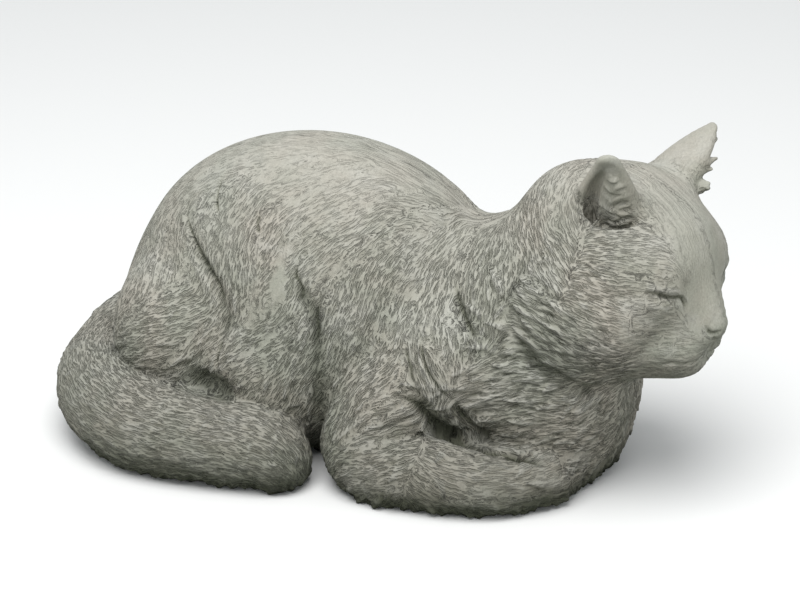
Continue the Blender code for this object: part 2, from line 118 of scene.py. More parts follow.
class Lump(Clay):
    """An ellipsoid."""

    def __init__(self, at, radii, turn=(0, 0, 0), soft=14, frame=None):
        self.matrix = (frame or Matrix.Identity(4)) @ placed(at, turn)
        self.radii = np.array(radii, float)
        self.soft = soft
        half = np.sqrt(((np.array(self.matrix)[:3, :3] * self.radii) ** 2).sum(1))
        self.low = np.array(self.matrix.translation) - half
        self.high = np.array(self.matrix.translation) + half

    def distance(self, points):
        local = self.drawn(points)
        near = np.linalg.norm(local / self.radii, axis=1)
        slope = np.linalg.norm(local / self.radii**2, axis=1)
        return near * (near - 1) / np.maximum(slope, 1e-9)

    def add_clay(self, clay):
        made = bmesh.ops.create_icosphere(clay, subdivisions=4, radius=1.0)
        scale = Matrix.Diagonal((*self.radii, 1))
        bmesh.ops.transform(clay, matrix=self.matrix @ scale, verts=made["verts"])


class Roll(Clay):
    """A roll along a smooth path, with its own radius at each point, flattened along its frame's X."""

    def __init__(self, path, radii, soft=10, frame=None, flat=1.0):
        self.matrix = (frame or Matrix.Identity(4)) @ Matrix.Diagonal((flat, 1, 1, 1))
        self.centres, self.radii = smooth_path(path, radii)
        self.soft = soft
        self.flat = flat
        middles = np.array([self.matrix @ Vector(c) for c in self.centres])
        self.low = (middles - self.radii[:, None]).min(0)
        self.high = (middles + self.radii[:, None]).max(0)

    def distance(self, points):
        local = self.drawn(points)
        best = np.full(len(points), 1e9)
        for start, end, near, far in zip(self.centres, self.centres[1:], self.radii, self.radii[1:]):
            t, away = beside(local, start, end)
            best = np.minimum(best, away - near - t * (far - near))
        return best * self.flat

    def add_clay(self, clay):
        for centre, radius in zip(self.centres, self.radii):
            ball = Matrix.Translation(Vector(centre))
            bmesh.ops.create_icosphere(clay, subdivisions=2, radius=radius, matrix=self.matrix @ ball)


def beside(points, start, end):
    """How far along the line from start to end each point is, from 0 to 1, and how far from it."""
    along = end - start
    t = np.clip((points - start) @ along / (along @ along), 0, 1)
    return t, np.linalg.norm(points - start - t[:, None] * along, axis=1)


def smooth_path(knots, radii, steps=4):
    """Points and radii along a Catmull-Rom curve through the knots."""
    values = np.array([[*k, r] for k, r in zip(knots, radii)], float)
    ends = np.vstack([2 * values[0] - values[1], values, 2 * values[-1] - values[-2]])
    made = []
    for i in range(1, len(ends) - 2):
        a, b, c, d = ends[i - 1 : i + 3]
        for t in np.linspace(0, 1, steps, endpoint=False):
            made.append(0.5 * (2 * b + (c - a) * t + (2 * a - 5 * b + 4 * c - d) * t**2
                               + (3 * b - a - 3 * c + d) * t**3))
    made.append(values[-1])
    made = np.array(made)
    return made[:, :3], made[:, 3]


def soft_union(a, b, soft):
    h = np.clip(0.5 + 0.5 * (b - a) / soft, 0, 1)
    return b + (a - b) * h - soft * h * (1 - h)


def flank(side, path):
    """A path drawn for the left flank, brought to the side asked for (-1 right, 1 left)."""
    return [(x, MIDLINE + side * y, z) for x, y, z in path]


def body():
    masses = [
        Lump((-44, 2, 82), (105, 66, 88), soft=20),  # barrel and back
        Lump((-98, 2, 54), (61, 60, 54), soft=24),  # rump
        Lump((-20, 2, 40), (90, 46, 52), soft=16),  # belly
        Lump((48, -2, 66), (50, 60, 66), (0, 20, 0), soft=16),  # shoulders
        Lump((88, 0, 54), (46, 54, 60), soft=16),  # chest
        Lump((93, 4, 22), (31, 46, 36), soft=12),  # breast
        Roll([(64, -2, 78), (84, -8, 100), (112, -12, 122)], [48, 49, 46], soft=14),  # neck
        Lump((103, -8, 135), (37, 34, 42), soft=8),  # nape
    ]
    for side in (-1, 1):
        hip, thigh = flank(side, [(-114, 34, 62), (-62, 39, 48)])
        masses += [
            Lump(hip, (38, 36, 46), soft=8),
            Lump(thigh, (42, 34, 48), (0, 14, 0), soft=8),
            # foreleg, folded under with the paw turned in
            Roll(flank(side, [(36, 39, 74), (5, 51, 35), (9, 61, 18), (42, 68, 17), (72, 63, 15),
                              (94, 45, 14), (98, 23, 14)]), [34, 29, 27, 21, 18, 17, 15], soft=7),
        ]
    return masses


# round the right side to its tip by the elbow
TAIL = Roll([(-138, 26, 58), (-160, 8, 44), (-165, -20, 33), (-154, -50, 27), (-124, -70, 22),
             (-84, -73, 21), (-54, -71, 19), (-45, -72, 14)], [16, 18, 22, 26, 25.5, 24, 22, 18], soft=4)


def head():
    def lump(at, radii, turn=(0, 0, 0), soft=10):
        return [Lump(at, radii, turn, soft, HEAD_FRAME)]

    def pair(at, radii, turn=(0, 0, 0), soft=10):
        return [Lump((at[0], s * at[1], at[2]), radii, (-s * turn[0], turn[1], s * turn[2]), soft,
                     HEAD_FRAME) for s in (-1, 1)]

    return (
        lump((-12, 0, 6), (40, 42, 38), soft=16)
        + lump((8, 0, 11), (27, 33, 25), soft=12)  # forehead
        + pair((-6, 27, -24), (38, 27, 32), soft=10)  # cheeks
        + lump((11, 0, -35), (30, 30, 26), soft=14)  # throat
        + lump((24, 0, -24), (25, 29, 24), soft=10)  # muzzle
        + pair((37.5, 9, -24), (16, 14, 14), soft=7)  # whisker pads
        + lump((35, 0, -36), (17, 15, 10), soft=9)  # chin
        + [Roll([(12, 0, 14), (32, 0, 2), (48.5, 0, -9)], [21, 14, 8.5], soft=9, frame=HEAD_FRAME)]  # nose
        + pair((20, 20, 0), (16, 17, 16), soft=12)  # closed eyes
        + pair((26, 15, -12), (13, 12, 13), soft=10)  # beside the nose
        + pair((16, 18, 14), (15, 15, 11), soft=10)  # brows
        + [ear(side) for side in (-1, 1)]
    )


EAR_FEET = {-1: (-15, 20.5, 24), 1: (-13.5, 22, 24)}  # right and left, outwards in the head's frame
EAR_TIPS = {-1: (-17, 45.5, 62.5), 1: (-10, 50, 66.5)}
EAR_FACING = 65  # degrees that the opening is turned out from straight ahead
EAR_FLATNESS = 0.45  # thickness as a share of the width
EAR_TIP_RADII = {-1: 6.5, 1: 4.5}  # the right tip is worn blunter


def ear_frame(side):
    """X out of the opening and Z up to the tip; the front edge lies towards -side along Y."""
    foot, tip = (Vector((x, side * y, z)) for x, y, z in (EAR_FEET[side], EAR_TIPS[side]))
    up = (tip - foot).normalized()
    facing = Vector((math.cos(math.radians(EAR_FACING)), side * math.sin(math.radians(EAR_FACING)), 0.2))
    facing = (facing - up * facing.dot(up)).normalized()
    turn = Matrix((facing, up.cross(facing), up)).transposed().to_4x4()
    return HEAD_FRAME @ Matrix.Translation(foot) @ turn


def ear(side):
    path = [(0, side * 2, -8), (0, side * 2, 12), (0, side * 1, 28), (0, 0, 43)]
    radii = [21, 16.5, 11.5, EAR_TIP_RADII[side]]
    return Roll(path, radii, soft=7, frame=ear_frame(side), flat=EAR_FLATNESS)


def ear_hollows(side):
    """The dish of the ear, and the deep channel along its back edge."""
    dish = [(22, -side * 2, 1), (20.5, -side * 2, 12), (13.5, -side * 1, 26), (8.5, 0, 41)]
    channel = [(9, side * 9.5, 0), (5, side * 10, 9), (3, side * 8, 22), (2.6, side * 4.5, 33),
               (2.8, side, 41)]
    rim = EAR_TIP_RADII[side] - 1.5
    return [
        Roll(dish, [8, 12.5, 9.8, rim], soft=2, frame=ear_frame(side), flat=EAR_FLATNESS),
        Roll(channel, [3, 3.8, 3.6, 2.8, 1.8], soft=1.5, frame=ear_frame(side)),
    ]


def ear_filling(side):
    """The mass of hair that grows from the front edge and fills most of the dish."""
    path = [(13, -side * 5.5, -5), (12.5, -side * 5, 6), (8.5, -side * 4.5, 18), (5, -side * 3.5, 30),
            (4, -side * 2, 38)]
    return Roll(path, [10, 9.5, 8, 5, 2.5], soft=3, frame=ear_frame(side), flat=EAR_FLATNESS)


STRANDS = (-6, 37, 3.3)  # first and last height of the ears' strands of hair, and the step between them
JUTTING_STRANDS = [
    # heights of foot and tip, how far each stands out of the left ear's front edge, and its thickness
    (0, 5, 1.0, 2.6),
    (5, 9, 1.8, 2.4),
    (11, 15, 4.5, 2.8),
    (13, 18, 7.5, 2.8),
    (15, 20, 6.0, 2.6),
    (22, 27, 2.0, 2.0),
    (28, 33, 1.0, 1.8),
]


def ear_strands(side):
    """Hair from the front edge across the filling, and at the left ear some that stands out of it."""
    filling = ear_filling(side)
    frame = ear_frame(side)
    heights = filling.centres[:, 2]
    chance = np.random.default_rng(4 + side)
    strands = []
    for height in np.arange(*STRANDS):
        x, y, wide = (np.interp(height, heights, v) for v in (*filling.centres.T[:2], filling.radii))
        top = EAR_FLATNESS * (x + 0.8 * wide)
        reach, rise, jut, sag = chance.uniform((0.6, -3, -0.2, -4), (1.15, 4, 2.0, 2))
        path = [(0.5 * top, y - side * 1.05 * wide, height - 2),
                (top + jut, y - 0.3 * side * wide, height + rise),
                (top + 0.4 * jut, y + side * 0.4 * wide, height + sag),
                (0.6 * top, y + side * reach * wide, height + rise + sag)]
        strands.append(Roll(path, [1.1, 1.5, 1.4, 0.5], soft=0.6, frame=frame))
    if side == 1:
        for low, high, jut, thick in JUTTING_STRANDS:
            path = [(4, -10, low), (6, -14 + 0.2 * low, (low + high) / 2), (7, -14 - jut + 0.2 * low, high)]
            strands.append(Roll(path, [thick, 0.9 * thick, 0.5 * thick], soft=1.2, frame=frame))
    return strands


MASSES = head() + body() + [TAIL]
HOLLOWS = [hollow for side in (-1, 1) for hollow in ear_hollows(side)]
FILLINGS = [ear_filling(side) for side in (-1, 1)]
STRANDS_OF_HAIR = [strand for side in (-1, 1) for strand in ear_strands(side)]


def skin(points, tufted=False):
    """How far each point near the surface of the form is from it, outwards."""
    d = np.full(len(points), 100.0)
    for mass in MASSES:
        near = mass.reaches(points)
        d[near] = soft_union(d[near], mass.distance(points[near]), mass.soft)
    for hollow in HOLLOWS:
        near = hollow.reaches(points)
        d[near] = -soft_union(-d[near], hollow.distance(points[near]), hollow.soft)
    for filling in FILLINGS + (STRANDS_OF_HAIR if tufted else []):
        near = filling.reaches(points)
        d[near] = soft_union(d[near], filling.distance(points[near]), filling.soft)
    return d


def onto_skin(points, steps=4):
    points = np.array(points, float)
    for _ in range(steps):
        here = skin(points)
        slope = np.stack([skin(points + move) - here for move in 0.5 * np.eye(3)], axis=1) / 0.5
        points = points - (here / np.maximum((slope**2).sum(1), 1e-6))[:, None] * slope
    return points


class Groove:
    """A line worked into the surface, fading out at its ends. A depth below 0 raises a ridge."""

    def __init__(self, path, width, depth, frame=None):
        path = np.array([(frame or Matrix.Identity(4)) @ Vector(p) for p in path])
        self.centres = onto_skin(smooth_path(path, [0] * len(path), 3)[0])
        self.width = width
        self.depth = depth

    def sink(self, points):
        low, high = self.centres.min(0) - 3 * self.width, self.centres.max(0) + 3 * self.width
        near = np.nonzero(((points > low) & (points < high)).all(1))[0]
        share = np.zeros(len(points))
        last = len(self.centres) - 1
        for i, (start, end) in enumerate(zip(self.centres, self.centres[1:])):
            t, away = beside(points[near], start, end)
            fade = np.minimum(1, 4 * np.minimum(i + t + 0.1, last - i - t + 0.1) / last)
            share[near] = np.maximum(share[near], fade * np.exp(-((away / self.width) ** 2)))
        return self.depth * share


FOLDS = [
    # a path on the left flank, with how wide and how deep the fold is there
    ([(-108, 37, 131), (-95, 50, 116), (-82, 57, 103), (-75, 61, 85), (-80, 67, 68)], 4, 2.4),  # hip
    ([(-98, 67, 51), (-84, 69, 50), (-70, 72, 47)], 6, 4.0),  # hollow of the haunch
    ([(-39, 60, 120), (-36, 63, 110), (-26, 65, 95), (-25, 65, 65), (-27, 59, 33), (-30, 50, 12)],
     5, 2.4),  # thigh
    ([(42, 43, 116), (51, 54, 104), (62, 62, 91)], 3.5, 1.6),  # shoulder
    ([(24, 66, 90), (31, 74, 68), (39, 71, 54), (47, 64, 40), (61, 70, 34)], 4, 1.8),  # elbow to paw
    ([(18, 74, 63), (32, 70, 56), (41, 60, 40), (63, 64, 31), (86, 62, 29), (105, 56, 23)],
     4, 3.0),  # over the forearm
    ([(51, 65, 61), (52, 60, 50), (59, 57, 40), (73, 56, 32)], 4, 2.6),  # under the ruff
    ([(87, 44, 152), (82, 50, 136), (77, 57, 117), (79, 60, 96)], 4.5, 1.6),  # behind the cheek
]
FACE_FORMS = [
    # the same for the left side of the head, in the head's frame; a depth below 0 is a ridge
    ([(-27, 56, -40), (-14, 52, -54), (0, 43, -61), (12, 29, -66), (22, 20, -64)],
     4.5, 3.2),  # edge of the ruff
    ([(6, 47, -2), (14, 43, 1), (22, 38, 5)], 2.2, 1.0),  # crease behind the eye
    ([(20, 39, 3), (10, 46, -4), (-4, 50, -12)], 2.0, 1.3),  # from the eye down over the cheek
    ([(22, 37, 10), (29, 31, 10.5), (34, 23, 10)], 2.6, -1.0),  # upper lid
    ([(24, 37, 1), (30, 31, 0), (35, 24, 0)], 2.6, -0.8),  # lower lid
    ([(35, 20, 14), (36.5, 18.5, 11), (37.5, 17, 8)], 2.6, 1.2),  # hollow over the inner corner
    ([(38, 24, -3), (37, 27.5, -14), (33, 31, -23.5), (29, 35, -32.5)], 5.5, 1.4),  # beside the muzzle
]
FACE_LINES = [
    # the same for the narrow dark lines of the face
    ([(22, 38, 5), (28, 33, 7), (32, 28, 6), (35, 22, 6), (36, 19.5, 5), (38.5, 17, 1),
      (39, 16.5, -2)], 1.0, 2.4),  # shut eye
    ([(50, 9.5, -7), (53, 7.5, -10), (55, 5, -9.5), (56, 3, -8)], 1.2, 2.2),  # nostril
    ([(54.5, 5.5, -11), (55, 2.5, -14.5), (55, 0, -17)], 1.1, 1.2),  # under the nose
    ([(53, 2, -25), (53, 6, -26.5), (51, 13, -27.5), (46, 19.5, -29), (41, 22.5, -32.5)],
     1.2, 1.6),  # mouth
    ([(55, 0, -15), (55, 0, -19), (53, 0, -25)], 1.1, 0.9),  # split of the lip, cut from both sides
]
CRACK_WIDTH = 1.0
CRACK_DEPTH = 2.0
CRACKS = [
    # the narrow dark lines in the folds, on the left flank
    [(-111, 26, 141), (-108, 37, 131), (-102, 45, 123), (-95, 50, 116), (-88, 54, 109), (-82, 57, 103),
     (-79, 60, 96), (-75, 61, 85)],  # hip
    [(-78, 65, 74), (-80, 67, 68), (-81, 68, 60)],
    [(-91, 27, 152), (-91, 37, 144), (-87, 45, 137)],
    [(-62, 47, 143), (-63, 51, 137), (-60, 54, 133)],
    [(-37, 59, 123), (-38, 60, 116), (-34, 60, 108), (-36, 64, 99)],  # thigh
    [(-23, 62, 107), (-26, 62, 96), (-25, 62, 87), (-27, 63, 81)],
    [(42, 43, 116), (46, 48, 110), (51, 54, 104), (57, 59, 97), (62, 62, 91)],  # shoulder
    [(22, 65, 89), (27, 70, 78), (30, 71, 69)],  # upper arm
    [(30, 65, 95), (33, 69, 87), (39, 72, 75), (45, 70, 66), (49, 65, 60)],
    [(51, 65, 61), (52, 60, 50), (59, 57, 40), (66, 55, 34), (73, 56, 32)],  # under the ruff
]
FOREARM_CRACK = [
    # the widest one, over the forearm, with its width and depth
    ([(18, 74, 63), (25, 73, 61), (32, 70, 56), (36, 66, 49), (41, 60, 40), (50, 61, 33), (63, 64, 31),
      (75, 61, 31), (86, 62, 29), (97, 60, 26), (105, 56, 23)], 1.8, 3.0),
]


def side_creases(table):
    return [Groove(flank(side, path), width, depth) for side in (-1, 1) for path, width, depth in table]


def face_creases(table):
    return [Groove([(x, side * y, z) for x, y, z in path], width, depth, HEAD_FRAME)
            for side in (-1, 1) for path, width, depth in table]


FLANK_FUR = [
    # where on the left flank, which way the hair lies there, and how deep the locks are
    ((-165, 0, 70), (-0.3, 0, -1), 0.5),
    ((-131, 0, 132), (-0.7, 0, -0.6), 0.4),
    ((-100, 0, 158), (-0.9, 0, -0.4), 0.3),
    ((-50, 0, 168), (-1, 0, 0), 0.2),
    ((10, 0, 155), (-1, 0, 0.4), 0.3),
    ((54, 0, 138), (-1, 0, 0.1), 0.5),
    ((-39, 29, 161), (-0.75, 0.55, -0.3), 0.25),
    ((-20, 40, 150), (-0.75, 0.55, -0.4), 0.35),
    ((-27, 55, 129), (-0.6, 0.4, -0.7), 0.6),
    ((-3, 46, 135), (-0.6, 0.5, -0.55), 0.6),
    ((-78, 52, 129), (-0.25, 0.4, -0.9), 0.6),
    ((-48, 60, 119), (-0.25, 0.3, -0.9), 0.8),
    ((-73, 60, 113), (0.1, 0.3, -0.95), 0.9),
    ((-122, 44, 108), (0.1, 0.6, -0.7), 0.8),
    ((-72, 62, 95), (-0.25, 0, -0.95), 1.0),
    ((-103, 66, 82), (-0.85, 0.2, -0.45), 0.9),
    ((-114, 69, 69), (-0.9, 0, -0.45), 1.1),
    ((-91, 66, 67), (-0.6, 0, -0.8), 1.2),
    ((-57, 68, 77), (-0.8, 0.1, -0.6), 1.1),
    ((-38, 67, 63), (-0.45, 0.1, -0.85), 1.2),
    ((-15, 64, 85), (-0.35, 0, -0.95), 1.0),
    ((-2, 57, 111), (-0.25, 0.3, -0.9), 0.8),
    ((-6, 72, 50), (-0.35, 0.2, -0.9), 1.2),
    ((-8, 60, 30), (-0.5, 0, -0.85), 1.2),
    ((9, 71, 67), (-0.6, 0, -0.75), 1.1),
    ((14, 55, 99), (-0.1, 0.4, -0.9), 0.9),
    ((22, 46, 116), (-0.35, 0.5, -0.8), 0.8),
    ((21, 24, 144), (-0.8, 0.5, 0.2), 0.4),
    ((36, 25, 131), (-0.25, 0.8, -0.4), 0.6),
    ((36, 52, 107), (0, 0.7, -0.65), 1.0),
    ((47, 44, 118), (0.05, 0.6, -0.8), 1.1),
    ((58, 40, 131), (0, 0.7, -0.65), 1.1),
    ((59, 51, 115), (0.1, 0.5, -0.85), 1.2),
    ((69, 51, 126), (0.15, 0.5, -0.8), 1.2),
    ((75, 38, 144), (0.4, 0.7, -0.5), 1.2),
    ((85, 43, 147), (0.45, 0.7, -0.5), 1.2),
    ((96, 50, 150), (0.7, 0.6, -0.35), 0.9),
    ((98, 59, 137), (0.7, 0.4, -0.55), 1.3),
    ((44, 66, 92), (0.35, 0.4, -0.85), 1.2),
    ((38, 72, 79), (0.45, 0.1, -0.9), 1.4),
    ((51, 59, 40), (0.55, -0.2, -0.8), 1.5),
    ((64, 63, 68), (-0.9, 0.3, -0.3), 1.7),
    ((98, 55, 63), (-0.95, 0.25, -0.05), 1.9),
    ((71, 61, 57), (-0.95, 0.15, -0.35), 1.8),
    ((101, 54, 53), (-0.9, 0.3, -0.3), 1.9),
    ((117, 44, 54), (-0.55, 0.5, -0.6), 1.7),
    ((114, 44, 33), (-0.75, 0.6, -0.1), 1.6),
    ((77, 55, 39), (-0.8, -0.1, -0.5), 1.6),
    ((128, 0, 40), (0, 0, -1), 1.6),
    ((20, 76, 54), (-0.9, 0.15, -0.4), 1.3),
    ((20, 84, 31), (-0.9, 0.2, -0.35), 1.1),
    ((8, 88, 23), (-0.9, 0, -0.4), 1.0),
    ((0, 66, 18), (-0.6, 0.2, -0.7), 1.2),
    ((49, 87, 21), (0.9, 0, -0.45), 0.9),
    ((56, 81, 30), (0.95, -0.2, 0), 0.8),
    ((78, 77, 23), (0.9, -0.45, 0), 0.6),
    ((96, 65, 24), (0.6, -0.8, 0.1), 0.5),
]
HEAD_FUR = [
    ((38, 0, 2), (-0.8, 0, 0.6), 0),
    ((22, 8, 28), (-0.6, 0.1, 0.8), 0.1),
    ((0, 0, 44), (-1, 0, 0), 0.2),
    ((-30, 10, 40), (-1, 0.1, -0.2), 0.3),
    ((26, 32, -12), (-0.95, 0.3, -0.2), 0.4),
    ((16, 36, 18), (-0.8, 0.4, -0.4), 0.5),
    ((0, 50, 0), (-1, 0.2, -0.15), 1.3),
    ((5, 52, -25), (-1, 0.1, 0.05), 1.7),
    ((-25, 50, -25), (-0.95, 0, -0.1), 1.9),
    ((-5, 46, -42), (-0.95, 0.1, 0.15), 1.8),
    ((10, 38, -52), (-0.95, 0.1, -0.3), 1.8),
    ((40, 18, -24), (-0.8, 0.6, -0.25), 0.35),
    ((34, 5, -46), (-0.9, 0, -0.3), 0.4),
    ((-35, 40, 20), (0.6, 0.4, -0.6), 0.5),
    ((-45, 10, 20), (0.2, 0.9, -0.3), 0.5),
    ((-20, 40, 50), (0, 0.4, 0.9), 0),
    ((0, 46, 20), (-0.8, 0.3, -0.45), 0.9),
]
TAIL_LOCKS = 1.0
TAIL_BLEND = 250.0  # the reach, squared, over which the tail's turns are eased
SHALLOWEST = 0.7  # locks cut less deep than this are only strokes
LOCK_DEPTH = 1.8
LOCK_LENGTH = 30
LOCK_WIDTH = 6.5  # half the width of a lock at its broadest
LOCK_SPACING = 10.5
LOCK_FLOOR = 0.35  # of the depth, the ground between locks
LOCK_MIDDLE = 0.6  # of the depth, the height that is level with the form
SMOOTH_BELOW = 0.25  # where the coat is shallower than this the stone is rubbed smooth
BOLDNESS = (0.3, 0.5)  # how bold a stroke is: this, and this much for each unit of the coat's depth
FUR_REACH = 60  # the reach, squared, within which one row of the tables settles how the hair lies
TAIL_SKIN = 2  # points no further out of the tail's own form than this belong to it
STROKE_LEVEL = 0.4  # of a stroke's depth, the part that is left proud beside it
FINE_HAIR = (5.5, 0.85)  # length and width of the finish's shorter strokes
LONG_HAIR = (10.0, 1.5)  # and of its longer ones
HAIR_SLANT = 0.45  # how far a stroke's row is shifted along for each width to the side
SPOTS = 64  # the strokes' places repeat after this many
TRUTH_ROUNDS = 3  # of evening out where the strokes may show
LEVEL_ROUNDS = 60  # of evening out the form that a lock's height is measured from
MANY = 50000  # points handled at a time


class Coat:
    """Which way the hair lies, and how deep its locks are cut, at any point of the surface."""

    def __init__(self):
        at, way, depth, sides = [], [], [], []
        turned = HEAD_FRAME.to_3x3()
        for side in (-1, 1):
            for (x, y, z), (dx, dy, dz), deep in FLANK_FUR:
                at.append((x, MIDLINE + side * y, z))
                way.append((dx, side * dy, dz))
                depth.append(deep)
            for (x, y, z), (dx, dy, dz), deep in HEAD_FUR:
                at.append(HEAD_FRAME @ Vector((x, side * y, z)))
                way.append(turned @ Vector((dx, side * dy, dz)))
                depth.append(deep)
            sides += [side] * (len(at) - len(sides))
        self.at, self.way, self.depth = np.array(at, float), np.array(way, float), np.array(depth, float)
        self.sides = np.array(sides)
        self.tail_ways = np.gradient(TAIL.centres, axis=0)

    def weights(self, points):
        away = ((points[:, None] - self.at[None]) ** 2).sum(2)
        return 1 / (away + FUR_REACH) ** 3

    def lie(self, points, normals):
        parts = [self.lie_of_some(points[i : i + MANY], normals[i : i + MANY])
                 for i in range(0, len(points), MANY)]
        return [np.concatenate(part) for part in zip(*parts)]

    def lie_of_some(self, points, normals):
        weight = self.weights(points)
        weight /= weight.sum(1, keepdims=True)
        way = weight @ self.way
        depth = weight @ self.depth
        on_tail = TAIL.distance(points) < TAIL_SKIN
        away = ((points[on_tail][:, None] - TAIL.centres[None]) ** 2).sum(2)
        away -= away.min(1, keepdims=True)
        way[on_tail] = np.exp(-away / TAIL_BLEND) @ self.tail_ways
        depth[on_tail] = TAIL_LOCKS
        way -= (way * normals).sum(1, keepdims=True) * normals
        way /= np.maximum(np.linalg.norm(way, axis=1, keepdims=True), 1e-6)
        return way, depth

    def zones(self, points):
        """The right half, the left half and the tail are combed apart."""
        made = []
        for i in range(0, len(points), MANY):
            some = points[i : i + MANY]
            made.append((self.weights(some) @ self.sides > 0) + 2 * (TAIL.distance(some) < TAIL_SKIN))
        return np.concatenate(made)


def spaced(points, spacing, chance):
    """Indices of points in a chance order, none nearer to another than the spacing."""
    cells = {}
    kept = []
    for i in chance.permutation(len(points)):
        p = points[i]
        x, y, z = (int(v) for v in p // spacing)
        around = (q for dx in (-1, 0, 1) for dy in (-1, 0, 1) for dz in (-1, 0, 1)
                  for q in cells.get((x + dx, y + dy, z + dz), ()))
        if all((p[0] - q[0]) ** 2 + (p[1] - q[1]) ** 2 + (p[2] - q[2]) ** 2 > spacing**2 for q in around):
            cells.setdefault((x, y, z), []).append(p)
            kept.append(i)
    return np.array(kept)


class Lock:
    """One broad lock: it bends with the hair from its root to its tip."""

    def __init__(self, root, normal, way, length, width, depth, bend):
        self.root, self.normal, self.way = root, normal, way
        self.length, self.width, self.depth, self.bend = length, width, depth, bend

    def raise_on(self, raised, points, normals, tree):
        """A leaf shape, which rises to its tip over the locks behind it."""
        middle = self.root + self.way * self.length / 2
        near = np.array([i for _, i, _ in tree.find_range(middle, self.length / 2 + 2 * self.width)])
        off = points[near] - self.root
        along = off @ self.way / self.length
        inside = (along > 0) & (along < 1) & (normals[near] @ self.normal > 0.3)
        near, off, along = near[inside], off[inside], along[inside]
        aside = off @ np.cross(self.normal, self.way) - self.bend * self.length * along**2
        across = aside / np.maximum(self.width * np.sin(np.pi * along**0.7), 0.3)
        height = self.depth * (0.3 + 0.7 * along) * np.clip(1 - across**2, 0, 1)
        raised[near] = np.maximum(raised[near], height)


def point_tree(points):
    tree = KDTree(len(points))
    for i, p in enumerate(points):
        tree.insert(p, i)
    tree.balance()
    return tree


def broad_locks(points, normals, coat):
    """The solid's own locks, drawn from the same chance."""
    chance = np.random.default_rng(11)
    seeds = spaced(points, LOCK_SPACING, chance)
    ways, depths = coat.lie(points[seeds], normals[seeds])
    made = []
    for seed, way, depth in zip(seeds, ways, depths):
        if depth < SHALLOWEST:
            continue
        length = LOCK_LENGTH * chance.uniform(0.8, 1.2)
        width = LOCK_WIDTH * chance.uniform(0.8, 1.2)
        bend = chance.uniform(-0.25, 0.25)
        made.append(Lock(points[seed], normals[seed], way, length, width, LOCK_DEPTH * depth, bend))
    return made


def open_strokes(along, across, chance):
    """How deep each point is in its nearest stroke, from 0 to 1; there is one pointed stroke to a cell."""
    spots = chance.random((SPOTS, SPOTS, 3))
    column, row = np.floor(along).astype(int), np.floor(across).astype(int)
    deepest = np.zeros(len(along))
    for i in (-1, 0, 1):
        for j in (-1, 0, 1):
            ahead, aside, boldness = spots[(column + i) % SPOTS, (row + j) % SPOTS].T
            away = np.hypot(along - column - i - ahead, 1.25 * (across - row - j - aside))
            deepest = np.maximum(deepest, (0.35 + 0.65 * boldness) * np.clip(1.3 - 2.6 * away, 0, 1))
    return deepest


RIM_HEIGHT = 11


def ragged_rim(points, normals, depth):
    """The broken lower edge that the mould left, as movement outwards."""
    x, y, z = points.T
    wave = (np.sin(0.21 * x + 0.17 * y) + np.sin(0.43 * x - 0.31 * y + 1.3)
            + np.sin(0.83 * x + 0.71 * y + 4.1) + np.sin(1.31 * y - 0.97 * x)
            + 0.8 * np.sin(1.1 * x + 1.7 * z) * np.sin(1.4 * y - 1.3 * z + 2))
    reach = np.clip(1 - z / RIM_HEIGHT, 0, 1) * np.clip(1.2 - np.abs(normals[:, 2]), 0, 1)
    return reach * wave * depth


def ease_onto_skin(mesh, rounds=3, tufted=False):
    for _ in range(rounds):
        at, normals = surface(mesh)
        move(mesh, at, -np.clip(skin(at, tufted), -5, 5)[:, None] * normals)


def surface(mesh):
    """The points of a mesh and the way outwards at each."""
    points = np.empty(len(mesh.vertices) * 3, np.float32)
    normals = np.empty(len(mesh.vertices) * 3, np.float32)
    mesh.vertices.foreach_get("co", points)
    mesh.vertices.foreach_get("normal", normals)
    return points.reshape(-1, 3).astype(float), normals.reshape(-1, 3).astype(float)


def move(mesh, points, by):
    mesh.vertices.foreach_set("co", (points + by).astype(np.float32).ravel())
    mesh.update()


def added(name, data):
    obj = bpy.data.objects.new(name, data)
    bpy.context.scene.collection.objects.link(obj)
    return obj


def applied(obj):
    graph = bpy.context.evaluated_depsgraph_get()
    mesh = bpy.data.meshes.new_from_object(obj.evaluated_get(graph))
    obj.modifiers.clear()
    obj.data = mesh
    return mesh


def remeshed(obj, size):
    remesh = obj.modifiers.new("fuse", "REMESH")
    remesh.mode = "VOXEL"
    remesh.voxel_size = size
    return applied(obj)


def edge_ends(mesh):
    ends = np.empty(len(mesh.edges) * 2, np.int64)
    mesh.edges.foreach_get("vertices", ends)
    return ends.reshape(-1, 2)


def evened(values, ends, rounds):
    """Values on the points, averaged with their neighbours' again and again."""
    count = np.bincount(ends.ravel(), minlength=len(values))
    for _ in range(rounds):
        total = (np.bincount(ends[:, 0], values[ends[:, 1]], len(values))
                 + np.bincount(ends[:, 1], values[ends[:, 0]], len(values)))
        values = 0.5 * values + 0.5 * total / np.maximum(count, 1)
    return values


def levelled(a, b, weight, rises, values):
    """Values whose differences along the links come nearer to the rises (conjugate gradients)."""

    def pulls(differences):
        pull = weight * differences
        return np.bincount(b, pull, len(values)) - np.bincount(a, pull, len(values))

    left = pulls(rises - values[b] + values[a])
    way = left.copy()
    size = left @ left
    for _ in range(COMB_ROUNDS):
        spread = pulls(way[b] - way[a])
        step = size / max(way @ spread, 1e-12)
        values = values + step * way
        left = left - step * spread
        before, size = size, left @ left
        way = left + size / max(before, 1e-12) * way
    return values


def links(mesh):
    """The edges of a mesh and both diagonals of its quads, as pairs of points."""
    corners = np.array([p.vertices[:] for p in mesh.polygons if len(p.vertices) == 4])
    return np.concatenate([edge_ends(mesh), corners[:, 0::2], corners[:, 1::2]]).T


